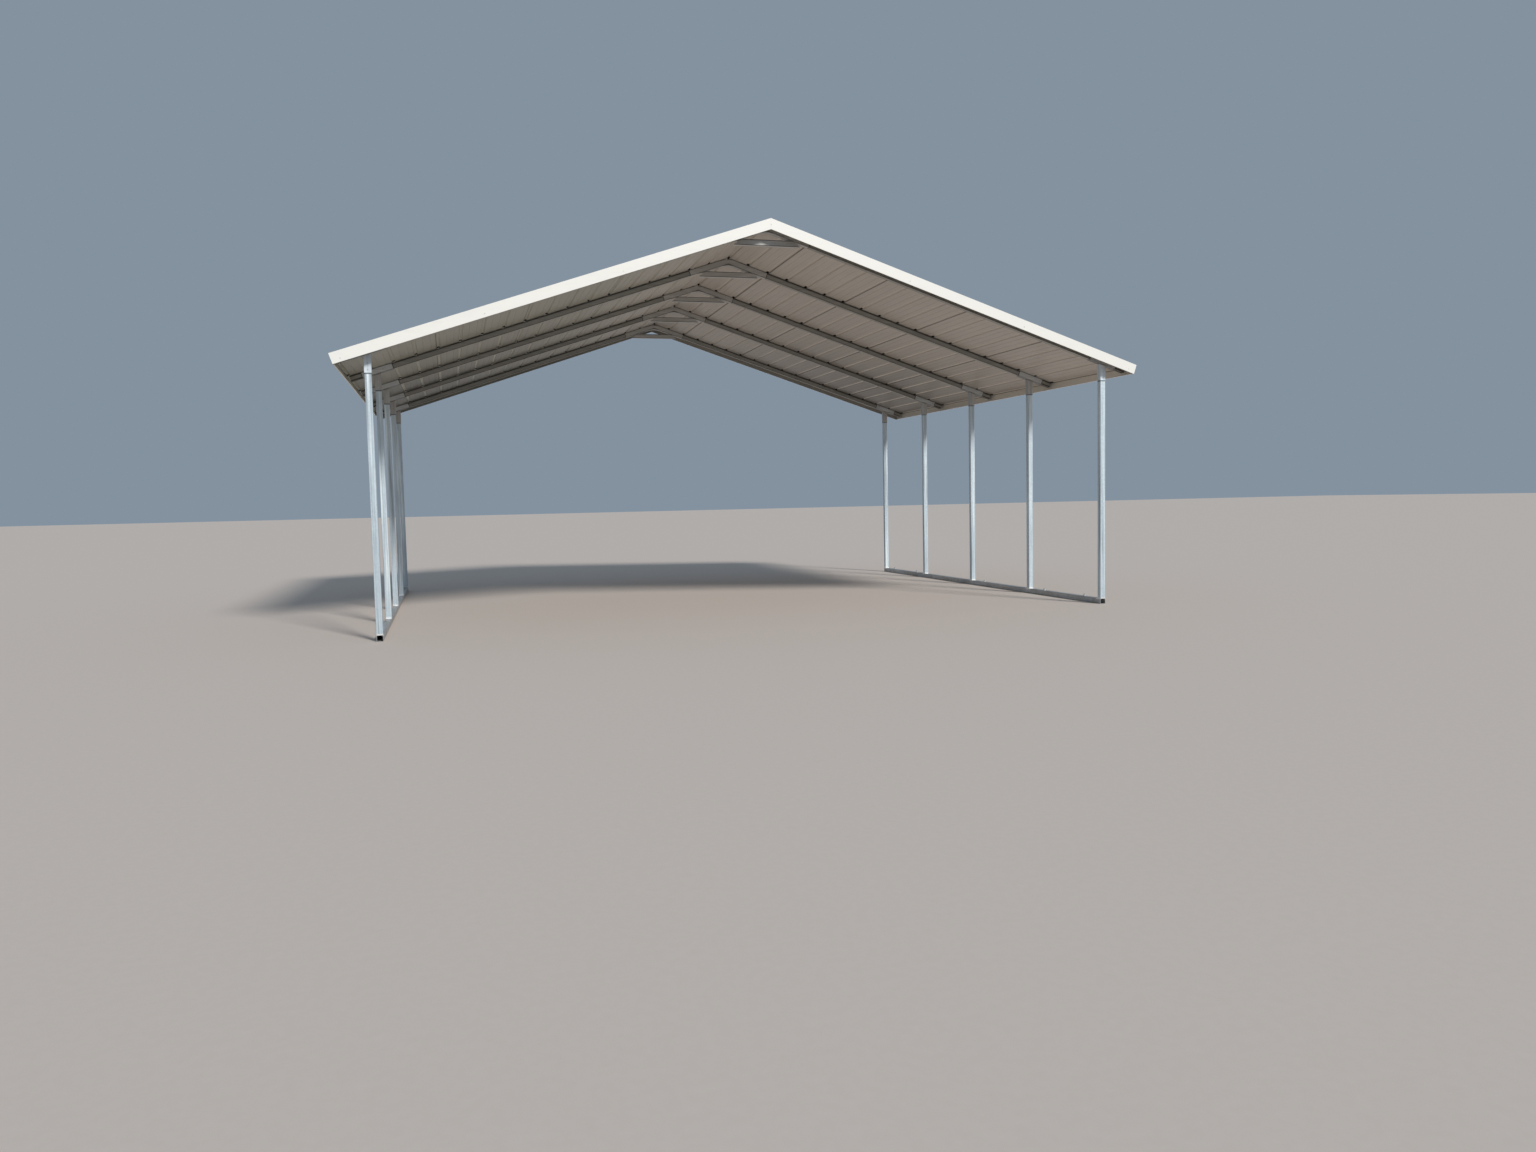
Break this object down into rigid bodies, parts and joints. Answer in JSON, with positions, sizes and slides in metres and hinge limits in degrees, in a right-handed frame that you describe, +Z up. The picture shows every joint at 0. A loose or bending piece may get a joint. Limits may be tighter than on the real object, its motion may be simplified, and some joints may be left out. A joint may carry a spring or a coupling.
{
  "type": "carport",
  "caption": "Open carport with a low gable roof of ribbed steel sheets on square tube frames that stand on ground rails.",
  "frame": {"origin": "ground level at the middle of the plan", "axes": "+X across the width to the right seen from the front, -Y towards the front gable, +Z up"},
  "size_m": [7.8582, 6.4018, 3.8017],
  "materials": {
    "galvanized_steel": "galvanized, semi-matt",
    "roof_paint": "baked paint, satin",
    "trim_paint": "baked paint, satin"
  },
  "bodies": {
    "root": {"base_nipples": "galvanized_steel", "base_rail_left": "galvanized_steel", "base_rail_right": "galvanized_steel", "eave_sleeves_left": "galvanized_steel", "eave_sleeves_right": "galvanized_steel", "eave_tails": "galvanized_steel", "eave_trim_left": "trim_paint", "eave_trim_right": "trim_paint", "gable_trim_back_left": "trim_paint", "gable_trim_back_right": "trim_paint", "gable_trim_front_left": "trim_paint", "gable_trim_front_right": "trim_paint", "peak_bow_1": "galvanized_steel", "peak_bow_2": "galvanized_steel", "peak_bow_3": "galvanized_steel", "peak_bow_4": "galvanized_steel", "peak_bow_5": "galvanized_steel", "post_left_1": "galvanized_steel", "post_left_2": "galvanized_steel", "post_left_3": "galvanized_steel", "post_left_4": "galvanized_steel", "post_left_5": "galvanized_steel", "post_right_1": "galvanized_steel", "post_right_2": "galvanized_steel", "post_right_3": "galvanized_steel", "post_right_4": "galvanized_steel", "post_right_5": "galvanized_steel", "rafter_left_1": "galvanized_steel", "rafter_left_2": "galvanized_steel", "rafter_left_3": "galvanized_steel", "rafter_left_4": "galvanized_steel", "rafter_left_5": "galvanized_steel", "rafter_right_1": "galvanized_steel", "rafter_right_2": "galvanized_steel", "rafter_right_3": "galvanized_steel", "rafter_right_4": "galvanized_steel", "rafter_right_5": "galvanized_steel", "ridge_sheet": "roof_paint", "roof_sheet_left_1": "roof_paint", "roof_sheet_left_2": "roof_paint", "roof_sheet_left_3": "roof_paint", "roof_sheet_left_4": "roof_paint", "roof_sheet_right_1": "roof_paint", "roof_sheet_right_2": "roof_paint", "roof_sheet_right_3": "roof_paint", "roof_sheet_right_4": "roof_paint"}
  },
  "joints": []
}
